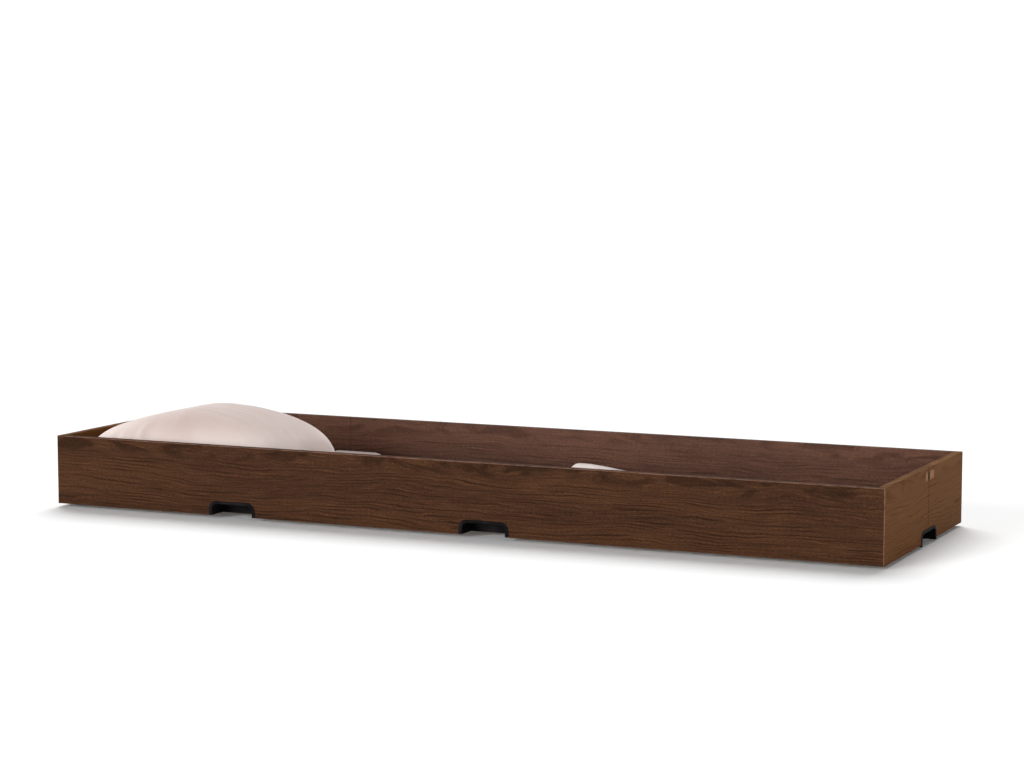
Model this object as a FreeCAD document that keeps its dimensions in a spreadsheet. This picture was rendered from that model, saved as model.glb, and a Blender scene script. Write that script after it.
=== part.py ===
"""Low trundle bed: a foil-wrapped tray on four hidden swivel casters.

Row frame: +X runs along the bed towards its right end, +Y towards the back and +Z up.
The origin is on the floor, under the middle of the bed. All sizes are millimetres.

Boards and pull cups are drawn in a wall frame: local X runs along the wall, local Y = 0 is
the wall's outer face with +Y going into the bed, and local Z = 0 is the wall's bottom edge.
"""
import FreeCAD
import Part
import math
import os
import re
import Sketcher

Vector = FreeCAD.Vector

DIMENSIONS = {
    # tray
    "bed_length": 2000,
    "bed_width": 610,
    "panel_height": 160,
    "board_thickness": 18,
    "floor_gap": 8,
    "corner_chamfer": 1.4,
    "edge_radius": 0.8,
    "seam_chamfer": 0.8,
    # seam that splits each end into two boards, and the middle of the end's pull cup
    "end_seam_y": 25,
    "end_cup_y": 31,
    "front_left_cup_x": -528,
    "front_right_cup_x": 103.5,
    # how far the end cups sit lower than the front ones
    "end_cup_drop": 4.5,
    # moulded pull cups
    "cup_width": 120,
    "cup_height": 33,
    "cup_corner_radius": 20,
    "cup_depth": 51,
    "cup_wall": 3,
    "flange_side": 8,
    "flange_top": 6.5,
    "flange_proud": 1.2,
    "notch_clearance": 0.2,
    "ear_reach": 14,
    "ear_thickness": 2.5,
    "ear_bottom": 5,
    "ear_top": 26,
    "ear_hole_share": 0.6,
    # flush plates near the rim of each end
    "plate_bottom": 133,
    "plate_height": 19,
    "plate_thickness": 2.2,
    "plate_rebate": 2,
    "front_plate_start": -1,
    "link_start": 17,
    "rear_plate_start": 31.6,
    "rear_plate_end": 64.8,
    "link_height": 13,
    # steel plates that tie the two end boards together inside
    "splice_length": 150,
    "splice_height": 60,
    "splice_thickness": 3,
    "splice_bottom": 58,
    # ledgers, slats and caster blocks
    "ledger_bottom": 38,
    "ledger_height": 12,
    "ledger_width": 16,
    "ledger_screw_inset": 120,
    "ledger_screw_count": 8,
    "slat_width": 70,
    "slat_thickness": 8,
    "slat_end_gap": 1,
    "slat_end_margin": 8,
    "slat_count": 14,
    "block_size": 80,
    # casters
    "caster_height": 40,
    "caster_end_inset": 52,
    "caster_side_inset": 68,
    "caster_plate_size": 44,
    "caster_plate_thickness": 2.5,
    "caster_hole_reach": 16,
    "kingpin_radius": 4,
    "fork_disc_radius": 15,
    "fork_disc_gap": 0.4,
    "fork_disc_thickness": 3,
    "fork_leg_thickness": 2,
    "fork_leg_half_width": 6,
    "fork_shoulder_share": 0.55,
    "fork_weld_overlap": 0.5,
    "fork_wheel_gap": 1,
    "kingpin_end_gap": 0.3,
    "wheel_radius": 15,
    "wheel_width": 14,
    "wheel_trail": 12,
    "axle_radius": 3,
    "running_clearance": 0.05,
    "rivet_head_radius": 4.4,
    "rivet_head_height": 1,
    # soft goods
    "pad_side_gap": 5,
    "pad_end_gap": 16,
    "pad_thickness": 20,
    "pad_corner_radius": 40,
    "soft_gap": 0.3,
    "pillow_left_gap": 7,
    "pillow_middle_y": -50,
    "pillow_length": 524,
    "pillow_width": 410,
    "pillow_height": 148,
    "pillow_edge_chamfer": 23,
    # screws
    "small_screw_radius": 1.75,
    "small_screw_length": 14,
    "ledger_screw_radius": 2,
    "ledger_screw_length": 28,
    "caster_screw_radius": 2,
    "caster_screw_length": 10,
    "slat_screw_radius": 1.75,
    "slat_screw_length": 15,
    "hole_clearance": 0.1,
    "screw_head_ratio": 2,
    "screw_head_height_ratio": 1.2,
    # how far a cut runs past the faces that it goes through
    "overrun": 1,
}

# The pillow's side outline, as shares of its length and height from its lower left corner
PILLOW_OUTLINE = [
    (0, 0.21), (0.083, 0), (0.917, 0), (1, 0.21), (0.97, 0.435),
    (0.8, 0.78), (0.614, 1), (0.414, 1), (0.1, 0.76), (0, 0.62),
]

ALIAS = re.compile(r"\b(" + "|".join(sorted(DIMENSIONS, key=len, reverse=True)) + r")\b")

doc = FreeCAD.newDocument("trundle_bed")


def make_sheet():
    """Puts every driving dimension in its own named cell."""
    sheet = doc.addObject("Spreadsheet::Sheet", "dims")
    for row, (alias, number) in enumerate(DIMENSIONS.items(), start=1):
        sheet.set(f"A{row}", alias.replace("_", " "))
        sheet.set(f"B{row}", str(number))
        sheet.setAlias(f"B{row}", alias)
    doc.recompute()
    return sheet


dims = make_sheet()


def bound(text):
    """Writes an expression on the sheet's aliases in full, as a property expects it."""
    return ALIAS.sub(r"dims.\1", str(text))


def size(text):
    """The number that an expression on the sheet's aliases has now."""
    result = dims.evalExpression(bound(text))
    return float(getattr(result, "Value", result))


# Places worked out from the driving dimensions
HALF_LENGTH = "bed_length / 2"
HALF_WIDTH = "bed_width / 2"
INNER_HALF_LENGTH = "(bed_length / 2 - board_thickness)"
INNER_HALF_WIDTH = "(bed_width / 2 - board_thickness)"
LEDGER_TOP = "(ledger_bottom + ledger_height)"
SLAT_TOP = "(ledger_bottom + ledger_height + slat_thickness)"
PAD_BOTTOM = "(ledger_bottom + ledger_height + slat_thickness + soft_gap)"
PAD_TOP = "(ledger_bottom + ledger_height + slat_thickness + soft_gap + pad_thickness)"

# Turn of each wall's frame about Z and the middle of its outer bottom edge
WALLS = {
    "front": (0, "0", f"-{HALF_WIDTH}"),
    "right": (90, HALF_LENGTH, "0"),
    "back": (180, "0", HALF_WIDTH),
    "left": (270, f"-{HALF_LENGTH}", "0"),
}


# ---------------------------------------------------------------- sketches and features

def new_body(label, place=("0", "0", "0"), turn=0):
    """An empty body, placed by expressions and turned about Z."""
    body = doc.addObject("PartDesign::Body", label)
    body.Label = label
    body.Placement = FreeCAD.Placement(Vector(), FreeCAD.Rotation(Vector(0, 0, 1), turn))
    for axis, expression in zip("xyz", place):
        body.setExpression(f"Placement.Base.{axis}", bound(expression))
    return body


def wall_body(label, wall):
    """A body in the frame of one of the four walls."""
    turn, x, y = WALLS[wall]
    return new_body(label, (x, y, "floor_gap"), turn)


def new_sketch(body, plane, offset):
    """An empty sketch on one of the body's own origin planes, moved along the normal."""
    sketch = body.newObject("Sketcher::SketchObject", body.Label + "_sketch")
    role = plane + "_Plane"
    support = next(item for item in body.Origin.OriginFeatures if item.Role == role)
    sketch.AttachmentSupport = (support, [""])
    sketch.MapMode = "FlatFace"
    sketch.setExpression("AttachmentOffset.Base.z", bound(offset))
    return sketch


def bind_constraint(sketch, constraint, expression):
    """Adds a dimension to a sketch and ties it to the sheet."""
    index = sketch.addConstraint(constraint)
    sketch.setExpression(f"Constraints[{index}]", bound(expression))


def pin_point(sketch, element, point, x, y):
    """Holds one point of a sketch at (x, y)."""
    for kind, expression in (("DistanceX", x), ("DistanceY", y)):
        held = Sketcher.Constraint(kind, -1, 1, element, point, size(expression))
        bind_constraint(sketch, held, expression)


def draw_polygon(sketch, corners):
    """A closed outline of straight lines through the corners."""
    points = [Vector(size(x), size(y), 0) for x, y in corners]
    count = len(points)
    for index in range(count):
        line = Part.LineSegment(points[index], points[(index + 1) % count])
        sketch.addGeometry(line, False)
    for index, (x, y) in enumerate(corners):
        previous = (index - 1) % count
        sketch.addConstraint(Sketcher.Constraint("Coincident", previous, 2, index, 1))
        pin_point(sketch, index, 1, x, y)


def draw_rectangle(sketch, x_start, x_end, y_start, y_end):
    """An upright rectangle."""
    draw_polygon(sketch, [(x_start, y_start), (x_end, y_start), (x_end, y_end), (x_start, y_end)])


def draw_circles(sketch, centres, radius):
    """Equal circles."""
    for x, y in centres:
        circle = Part.Circle(Vector(size(x), size(y), 0), Vector(0, 0, 1), size(radius))
        index = sketch.addGeometry(circle, False)
        pin_point(sketch, index, 3, x, y)
        bind_constraint(sketch, Sketcher.Constraint("Radius", index, size(radius)), radius)


def draw_arch(sketch, middle, half_width, base, top, radius):
    """An upright opening with a flat base and two rounded top corners."""
    x, reach, low, high, bend = (size(item) for item in (middle, half_width, base, top, radius))
    right, left = x + reach, x - reach
    normal = Vector(0, 0, 1)
    right_circle = Part.Circle(Vector(right - bend, high - bend, 0), normal, bend)
    left_circle = Part.Circle(Vector(left + bend, high - bend, 0), normal, bend)
    sketch.addGeometry([
        Part.LineSegment(Vector(right, low, 0), Vector(right, high - bend, 0)),
        Part.ArcOfCircle(right_circle, 0, math.pi / 2),
        Part.LineSegment(Vector(right - bend, high, 0), Vector(left + bend, high, 0)),
        Part.ArcOfCircle(left_circle, math.pi / 2, math.pi),
        Part.LineSegment(Vector(left, high - bend, 0), Vector(left, low, 0)),
        Part.LineSegment(Vector(left, low, 0), Vector(right, low, 0)),
    ], False)
    for element in range(4):
        sketch.addConstraint(Sketcher.Constraint("Tangent", element, 2, element + 1, 1))
    sketch.addConstraint(Sketcher.Constraint("Coincident", 4, 2, 5, 1))
    sketch.addConstraint(Sketcher.Constraint("Coincident", 5, 2, 0, 1))
    sketch.addConstraint(Sketcher.Constraint("Vertical", 0))
    sketch.addConstraint(Sketcher.Constraint("Vertical", 4))
    sketch.addConstraint(Sketcher.Constraint("Horizontal", 2))
    sketch.addConstraint(Sketcher.Constraint("Equal", 1, 3))
    bind_constraint(sketch, Sketcher.Constraint("Radius", 1, bend), radius)
    pin_point(sketch, 0, 1, f"{middle} + {half_width}", base)
    pin_point(sketch, 4, 2, f"{middle} - {half_width}", base)
    top_height = Sketcher.Constraint("DistanceY", -1, 1, 2, 1, high)
    bind_constraint(sketch, top_height, top)


def pad(body, plane, draw, start, end):
    """Adds material between two stations along the plane's axis (X, Y or Z)."""
    offset = f"-({end})" if plane == "XZ" else start
    sketch = new_sketch(body, plane, offset)
    draw(sketch)
    feature = body.newObject("PartDesign::Pad", body.Label + "_pad")
    feature.Profile = sketch
    feature.setExpression("Length", bound(f"({end}) - ({start})"))
    doc.recompute()
    return feature


def cut(body, plane, draw, start, end):
    """Takes material away between two stations along the plane's axis (X, Y or Z)."""
    before = body.Shape.Volume
    offset = f"-({start})" if plane == "XZ" else end
    sketch = new_sketch(body, plane, offset)
    draw(sketch)
    feature = body.newObject("PartDesign::Pocket", body.Label + "_cut")
    feature.Profile = sketch
    feature.setExpression("Length", bound(f"({end}) - ({start})"))
    doc.recompute()
    if body.Shape.Volume >= before:
        raise RuntimeError(f"{body.Label}: a pocket removed nothing")
    return feature


def soften(body, kind, radius, wanted):
    """Fillets or chamfers every edge of the body's tip that wanted(edge) accepts."""
    tip = body.Tip
    names = [f"Edge{index}" for index, edge in enumerate(tip.Shape.Edges, start=1)
             if wanted(edge)]
    feature = body.newObject("PartDesign::" + kind, body.Label + "_" + kind.lower())
    feature.Base = (tip, names)
    feature.setExpression("Radius" if kind == "Fillet" else "Size", bound(radius))
    doc.recompute()
    return feature


def is_level(edge, height):
    """Whether the edge is level, at the given height."""
    box = edge.BoundBox
    return abs(box.ZMin - size(height)) < 1e-4 and abs(box.ZMax - size(height)) < 1e-4


def is_upright(edge):
    """Whether the edge runs straight up."""
    box = edge.BoundBox
    return box.XLength < 1e-4 and box.YLength < 1e-4


# ---------------------------------------------------------------- boards and pull cups

def rectangle(x_start, x_end, y_start, y_end):
    """A drawing step for a rectangle."""
    return lambda sketch: draw_rectangle(sketch, x_start, x_end, y_start, y_end)


def circles(centres, radius):
    """A drawing step for circles."""
    return lambda sketch: draw_circles(sketch, centres, radius)


def arch(middle, half_width, base, top, radius):
    """A drawing step for an arch."""
    return lambda sketch: draw_arch(sketch, middle, half_width, base, top, radius)


def make_board(label, wall, start, end, start_mitred, end_mitred, cups=(), pilots=()):
    """A foil-wrapped board, mitred where it turns a corner and eased where it meets a seam.

    cups are the pull cups let into its bottom edge, each (middle, drop). pilots are the screw
    holes drilled in its inner face, each (x, z, radius, depth).
    """
    corner = "corner_chamfer"
    outline = []
    if start_mitred:
        outline += [(f"{start} + {corner} / 2", f"{corner} / 2"), (f"{start} + {corner}", "0")]
    else:
        outline += [(start, "seam_chamfer"), (f"{start} + seam_chamfer", "0")]
    if end_mitred:
        outline += [(f"{end} - {corner}", "0"), (f"{end} - {corner} / 2", f"{corner} / 2")]
    else:
        outline += [(f"{end} - seam_chamfer", "0"), (end, "seam_chamfer")]
    inner_end = f"{end} - board_thickness" if end_mitred else end
    inner_start = f"{start} + board_thickness" if start_mitred else start
    outline += [(inner_end, "board_thickness"), (inner_start, "board_thickness")]

    board = wall_body(label, wall)
    pad(board, "XY", lambda sketch: draw_polygon(sketch, outline), "0", "panel_height")
    soften(board, "Fillet", "edge_radius",
           lambda edge: is_level(edge, "panel_height") and edge.BoundBox.YLength < 1e-4)
    for middle, drop in cups:
        cut(board, "XZ", arch(middle, "(cup_width / 2 - flange_side + cup_wall + notch_clearance)",
                              "-overrun",
                              f"cup_height - flange_top + cup_wall + notch_clearance - {drop}",
                              "cup_corner_radius - flange_side + cup_wall"),
            "-overrun", "board_thickness + overrun")
    for x, z, radius, depth in pilots:
        cut(board, "XZ", circles([(x, z)], f"{radius} + hole_clearance"),
            f"board_thickness - {depth}", "board_thickness")
    return board


def make_cup(label, wall, middle, drop):
    """A black moulded finger pull: flange outside, ears inside, open at the bottom."""
    turn, x, y = WALLS[wall]
    along = {"front": (middle, "0"), "right": ("0", middle), "left": ("0", middle)}[wall]
    cup = new_body(label, (f"{x} + {along[0]}", f"{y} + {along[1]}", f"floor_gap - {drop}"), turn)

    def outline(inset):
        """The flange's outline, drawn in by an inset at the sides and in step at the top."""
        return arch("0", f"(cup_width / 2 - {inset})", "0",
                    f"cup_height - ({inset}) * flange_top / flange_side",
                    f"cup_corner_radius - {inset}")

    sleeve = "(flange_side - cup_wall)"
    ear_end = f"(cup_width / 2 - {sleeve} + ear_reach)"
    ear_back = "board_thickness + ear_thickness"
    pad(cup, "XZ", outline("0"), "-flange_proud", "0")
    pad(cup, "XZ", outline(sleeve), "0", "cup_depth")
    pad(cup, "XZ", rectangle(f"-{ear_end}", ear_end, "ear_bottom", "ear_top"),
        "board_thickness", ear_back)
    cut(cup, "XZ", arch("0", "(cup_width / 2 - flange_side)", "-overrun",
                        "cup_height - flange_top", "cup_corner_radius - flange_side"),
        "-flange_proud - overrun", "cup_depth - cup_wall")
    cut(cup, "XZ", circles(ear_holes("0", "0"), "small_screw_radius + 2 * hole_clearance"),
        "board_thickness", ear_back)
    soften(cup, "Chamfer", "flange_proud / 3",
           lambda edge: edge.BoundBox.YMax < size("-flange_proud") + 1e-4)
    return cup


def ear_holes(middle, drop):
    """The two screw holes in a cup's ears, in its wall's frame."""
    reach = "(cup_width / 2 - flange_side + cup_wall + ear_reach * ear_hole_share)"
    height = f"(ear_bottom + ear_top) / 2 - {drop}"
    return [(f"{middle} - {reach}", height), (f"{middle} + {reach}", height)]


def splice_holes(middle):
    """The four screw holes in a splice plate whose middle is at this place on the wall."""
    x_reach = "splice_length / 3"
    z_reach = "splice_height / 3"
    centre = "(splice_bottom + splice_height / 2)"
    return [(f"{middle} {sx} {x_reach}", f"{centre} {sz} {z_reach}")
            for sx in "+-" for sz in "+-"]


def ledger_stations():
    """Where the screws sit along a ledger."""
    span = "(bed_length - 2 * ledger_screw_inset)"
    return [f"{span} * ({index} / (ledger_screw_count - 1) - 0.5)"
            for index in range(int(size("ledger_screw_count")))]


LEDGER_SCREW_HEIGHT = "(ledger_bottom + ledger_height / 2 - floor_gap)"


def pilot_list(holes, radius, depth):
    """Pilot holes of one size."""
    return [(x, z, radius, depth) for x, z in holes]


def small_pilots(holes, plate_thickness):
    """Pilot holes for small screws that pass through a plate of this thickness first."""
    return pilot_list(holes, "small_screw_radius", f"(small_screw_length - {plate_thickness})")


def make_walls():
    """The four walls of the tray, each end in two boards."""
    ledger_pilots = pilot_list([(x, LEDGER_SCREW_HEIGHT) for x in ledger_stations()],
                               "ledger_screw_radius", "(ledger_screw_length - ledger_width)")
    front_cups = [("front_left_cup_x", "0"), ("front_right_cup_x", "0")]
    cup_pilots = [pilot for middle, drop in front_cups
                  for pilot in small_pilots(ear_holes(middle, drop), "ear_thickness")]
    make_board("front_panel", "front", f"-{HALF_LENGTH}", HALF_LENGTH, True, True,
               front_cups, cup_pilots + ledger_pilots)
    make_board("back_panel", "back", f"-{HALF_LENGTH}", HALF_LENGTH, True, True,
               (), ledger_pilots)
    for end, sign in (("right", ""), ("left", "-")):
        seam = f"({sign}end_seam_y)"
        cup = (f"({sign}end_cup_y)", "end_cup_drop")
        low_half, high_half = ("front", "rear") if end == "right" else ("rear", "front")
        ears = ear_holes(*cup)
        splices = splice_holes(seam)
        for half, start, stop, first in ((low_half, f"-{HALF_WIDTH}", seam, True),
                                         (high_half, seam, HALF_WIDTH, False)):
            own_ears = [ears[0] if first else ears[1]]
            own_splices = splices[2:] if first else splices[:2]
            board = make_board(
                f"{end}_end_{half}_board", end, start, stop, first, not first, [cup],
                small_pilots(own_ears, "ear_thickness")
                + small_pilots(own_splices, "splice_thickness"))
            edge = "front_plate_start" if half == "front" else "rear_plate_end"
            sides = sorted((f"{sign}({edge})", seam), key=size)
            cut(board, "XZ", rectangle(sides[0], sides[1], "plate_bottom",
                                       "plate_bottom + plate_height"),
                "-overrun", "plate_rebate")


def make_end_plates(end, sign):
    """The flush plates and their link near the rim, and the splice plate inside."""
    spans = {
        "front_joining_plate": ("front_plate_start", "link_start"),
        "joining_link": ("link_start", "rear_plate_start"),
        "rear_joining_plate": ("rear_plate_start", "rear_plate_end"),
    }
    for name, (start, stop) in spans.items():
        plate = wall_body(f"{end}_end_{name}", end)
        sides = sorted((f"{sign}({start})", f"{sign}({stop})"), key=size)
        is_link = name == "joining_link"
        inset = "(plate_height - link_height) / 2" if is_link else "0"
        face = "plate_thickness / 3" if is_link else "(plate_rebate - plate_thickness)"
        pad(plate, "XZ", rectangle(sides[0], sides[1], f"plate_bottom + {inset}",
                                   f"plate_bottom + plate_height - {inset}"),
            face, "plate_rebate")
    splice = wall_body(f"{end}_end_splice_plate", end)
    seam = f"({sign}end_seam_y)"
    low, high = f"{seam} - splice_length / 2", f"{seam} + splice_length / 2"
    pad(splice, "XZ", rectangle(low, high, "splice_bottom", "splice_bottom + splice_height"),
        "board_thickness", "board_thickness + splice_thickness")
    cut(splice, "XZ", circles(splice_holes(seam), "small_screw_radius + 2 * hole_clearance"),
        "board_thickness - overrun", "board_thickness + splice_thickness + overrun")


# ---------------------------------------------------------------- base of the tray

def slat_station(index):
    """The middle of a slat along the bed."""
    reach = f"({INNER_HALF_LENGTH} - slat_end_margin - slat_width / 2)"
    return f"{reach} * (2 * {index} / (slat_count - 1) - 1)"


def slat_stations():
    """The middles of all the slats."""
    return [slat_station(index) for index in range(int(size("slat_count")))]


SLAT_SCREW_Y = f"({INNER_HALF_WIDTH} - ledger_width / 2)"


def make_ledgers():
    """The two battens that carry the slats, drilled for their screws."""
    for side, sign in (("front", "-"), ("back", "")):
        ledger = new_body(f"{side}_ledger", ("0", "0", "0"))
        near = f"{sign}{INNER_HALF_WIDTH}"
        far = f"{sign}({INNER_HALF_WIDTH} - ledger_width)"
        low, high = sorted((near, far), key=size)
        pad(ledger, "XY", rectangle(f"-{INNER_HALF_LENGTH}", INNER_HALF_LENGTH, low, high),
            "ledger_bottom", LEDGER_TOP)
        height = "(ledger_bottom + ledger_height / 2)"
        cut(ledger, "XZ", circles([(x, height) for x in ledger_stations()],
                                  "ledger_screw_radius + 2 * hole_clearance"),
            f"{low} - overrun", f"{high} + overrun")
        cut(ledger, "XY", circles([(x, f"{sign}{SLAT_SCREW_Y}") for x in slat_stations()],
                                  "slat_screw_radius + hole_clearance"),
            f"{LEDGER_TOP} - slat_screw_length + slat_thickness", LEDGER_TOP)


def make_slats():
    """The cross slats, drilled at both ends."""
    for number, station in enumerate(slat_stations(), start=1):
        slat = new_body(f"slat_{number:02d}", (station, "0", LEDGER_TOP))
        reach = f"({INNER_HALF_WIDTH} - slat_end_gap)"
        pad(slat, "XY", rectangle("-slat_width / 2", "slat_width / 2", f"-{reach}", reach),
            "0", "slat_thickness")
        cut(slat, "XY", circles([("0", SLAT_SCREW_Y), ("0", f"-{SLAT_SCREW_Y}")],
                                "slat_screw_radius + 2 * hole_clearance"),
            "-overrun", "slat_thickness + overrun")
        cut(slat, "XY", circles([("0", SLAT_SCREW_Y), ("0", f"-{SLAT_SCREW_Y}")],
                                "screw_head_ratio * slat_screw_radius + 2 * hole_clearance"),
            "slat_thickness - slat_screw_radius", "slat_thickness + overrun")


CORNERS = {
    "front_left": ("-", "-"),
    "front_right": ("", "-"),
    "back_left": ("-", ""),
    "back_right": ("", ""),
}
CASTER_HOLES = [(f"{sx}caster_hole_reach", f"{sy}caster_hole_reach")
                for sx in ("", "-") for sy in ("", "-")]


def caster_place(corner, height):
    """A place on a caster's swivel axis."""
    sx, sy = CORNERS[corner]
    return (f"{sx}(bed_length / 2 - caster_end_inset)",
            f"{sy}(bed_width / 2 - caster_side_inset)", height)


def make_block(corner):
    """A hardwood block glued between the ledger and the end board, over the caster."""
    sx, sy = CORNERS[corner]
    block = new_body(f"caster_block_{corner}", caster_place(corner, "caster_height"))
    end_side = "(caster_end_inset - board_thickness)"
    ledger_side = "(caster_side_inset - board_thickness - ledger_width)"
    x_span = sorted((f"{sx}{end_side}", f"{sx}({end_side} - block_size)"), key=size)
    y_span = sorted((f"{sy}{ledger_side}", f"{sy}({ledger_side} - block_size)"), key=size)
    pad(block, "XY", rectangle(*x_span, *y_span), "0", f"{LEDGER_TOP} - caster_height")
    cut(block, "XY", circles(CASTER_HOLES, "caster_screw_radius + hole_clearance"),
        "-overrun", "caster_screw_length - caster_plate_thickness")


# ---------------------------------------------------------------- casters

AXLE_DROP = "(caster_height - wheel_radius)"
FORK_TOP = "(caster_plate_thickness + fork_disc_gap)"
LEG_INNER = "(wheel_width / 2 + fork_wheel_gap)"


def make_caster_plate(corner):
    """A steel top plate with four screw holes and the kingpin's bearing hole."""
    plate = new_body(f"caster_{corner}_plate", caster_place(corner, "caster_height"))
    reach = "caster_plate_size / 2"
    pad(plate, "XY", rectangle(f"-{reach}", reach, f"-{reach}", reach),
        "-caster_plate_thickness", "0")
    soften(plate, "Fillet", "caster_plate_size / 8", is_upright)
    cut(plate, "XY", circles(CASTER_HOLES, "caster_screw_radius + 2 * hole_clearance"),
        "-caster_plate_thickness - overrun", "overrun")
    cut(plate, "XY", circles([("0", "0")], "kingpin_radius + running_clearance"),
        "-caster_plate_thickness - overrun", "overrun")


def make_fork(corner):
    """The swivelling fork: kingpin, disc and two legs that trail behind the kingpin."""
    fork = new_body(f"caster_{corner}_fork", caster_place(corner, "caster_height"))
    disc_bottom = f"-({FORK_TOP} + fork_disc_thickness)"
    pad(fork, "XY", circles([("0", "0")], "fork_disc_radius"), disc_bottom, f"-{FORK_TOP}")
    pad(fork, "XY", circles([("0", "0")], "kingpin_radius"), f"-{FORK_TOP}",
        "-kingpin_end_gap")
    half = "fork_leg_half_width"
    eye = f"-({AXLE_DROP} + {half})"
    shoulder = "fork_disc_radius * fork_shoulder_share"
    weld = f"{disc_bottom} + fork_weld_overlap"
    leg = [(f"-wheel_trail - {half}", eye), (f"-wheel_trail + {half}", eye),
           (shoulder, weld), (f"-{shoulder}", weld),
           (f"-wheel_trail - {half}", f"-({AXLE_DROP} - {half})")]
    for near, far in ((LEG_INNER, f"({LEG_INNER} + fork_leg_thickness)"),
                      (f"-({LEG_INNER} + fork_leg_thickness)", f"-{LEG_INNER}")):
        pad(fork, "XZ", lambda sketch: draw_polygon(sketch, leg), near, far)
    cut(fork, "XZ", circles([("-wheel_trail", f"-{AXLE_DROP}")], "axle_radius"),
        f"-({LEG_INNER} + fork_leg_thickness + overrun)",
        f"{LEG_INNER} + fork_leg_thickness + overrun")


def axle_place(corner):
    """The middle of a caster's axle."""
    x, y, _ = caster_place(corner, "0")
    return (f"{x} - wheel_trail", y, "wheel_radius")


def make_axle(corner):
    """A riveted steel axle, headed at both ends."""
    axle = new_body(f"caster_{corner}_axle", axle_place(corner))
    end = f"({LEG_INNER} + fork_leg_thickness)"
    pad(axle, "XZ", circles([("0", "0")], "axle_radius"), f"-{end}", end)
    pad(axle, "XZ", circles([("0", "0")], "rivet_head_radius"), end,
        f"{end} + rivet_head_height")
    pad(axle, "XZ", circles([("0", "0")], "rivet_head_radius"),
        f"-({end} + rivet_head_height)", f"-{end}")


def make_wheel(corner):
    """A solid nylon wheel with a rounded tread and sunk sides."""
    wheel = new_body(f"caster_{corner}_wheel", axle_place(corner))
    half = "wheel_width / 2"
    pad(wheel, "XZ", circles([("0", "0")], "wheel_radius"), f"-{half}", half)
    soften(wheel, "Fillet", "wheel_width / 8",
           lambda edge: edge.BoundBox.ZLength > size("wheel_radius"))
    cut(wheel, "XZ", circles([("0", "0")], "axle_radius + running_clearance"),
        f"-{half} - overrun", f"{half} + overrun")


# ---------------------------------------------------------------- soft goods

def make_pad():
    """The thin mattress pad on the slats."""
    body = new_body("mattress_pad", ("0", "0", PAD_BOTTOM))
    x_reach = f"({INNER_HALF_LENGTH} - pad_end_gap)"
    y_reach = f"({INNER_HALF_WIDTH} - pad_side_gap)"
    pad(body, "XY", rectangle(f"-{x_reach}", x_reach, f"-{y_reach}", y_reach),
        "0", "pad_thickness")
    soften(body, "Fillet", "pad_corner_radius", is_upright)


def make_pillow():
    """A plump pillow at the left end, crowned towards the middle of its length."""
    left = f"-({INNER_HALF_LENGTH} - pillow_left_gap)"
    body = new_body("pillow", (left, "pillow_middle_y", f"{PAD_TOP} + soft_gap"))
    side = [(f"pillow_length * {x}", f"pillow_height * {z}") for x, z in PILLOW_OUTLINE]
    pad(body, "XZ", lambda sketch: draw_polygon(sketch, side),
        "-pillow_width / 2", "pillow_width / 2")
    soften(body, "Chamfer", "pillow_edge_chamfer",
           lambda edge: edge.BoundBox.YLength < 1e-4)


# ---------------------------------------------------------------- screws

def screw_shape(radius, length, countersunk):
    """A screw along +Z, its seat at the origin: the head above, the shank below."""
    head_radius = size("screw_head_ratio") * radius
    shank = Part.makeCylinder(radius, length, Vector(0, 0, -length))
    if countersunk:
        head = Part.makeCone(radius, head_radius, radius, Vector(0, 0, -radius))
        return shank.fuse(head).removeSplitter()
    head = Part.makeCylinder(head_radius, size("screw_head_height_ratio") * radius)
    return shank.fuse(head).removeSplitter()


def make_screws(label, screw, seats):
    """A group of identical screws; each seat is a place and the way its head faces."""
    group = doc.addObject("Part::Feature", label)
    group.Label = label
    copies = []
    for place, facing in seats:
        turn = FreeCAD.Rotation(Vector(0, 0, 1), facing)
        copies.append(screw.transformed(FreeCAD.Placement(place, turn).toMatrix()))
    group.Shape = Part.makeCompound(copies)
    group.Placement = FreeCAD.Placement()


def wall_point(wall, x, depth, z):
    """A point given in a wall's frame, and the direction into the bed there."""
    turn, base_x, base_y = WALLS[wall]
    frame = FreeCAD.Placement(Vector(size(base_x), size(base_y), size("floor_gap")),
                              FreeCAD.Rotation(Vector(0, 0, 1), turn))
    place = frame.multVec(Vector(size(x), size(depth), size(z)))
    return place, frame.Rotation.multVec(Vector(0, 1, 0))


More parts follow.
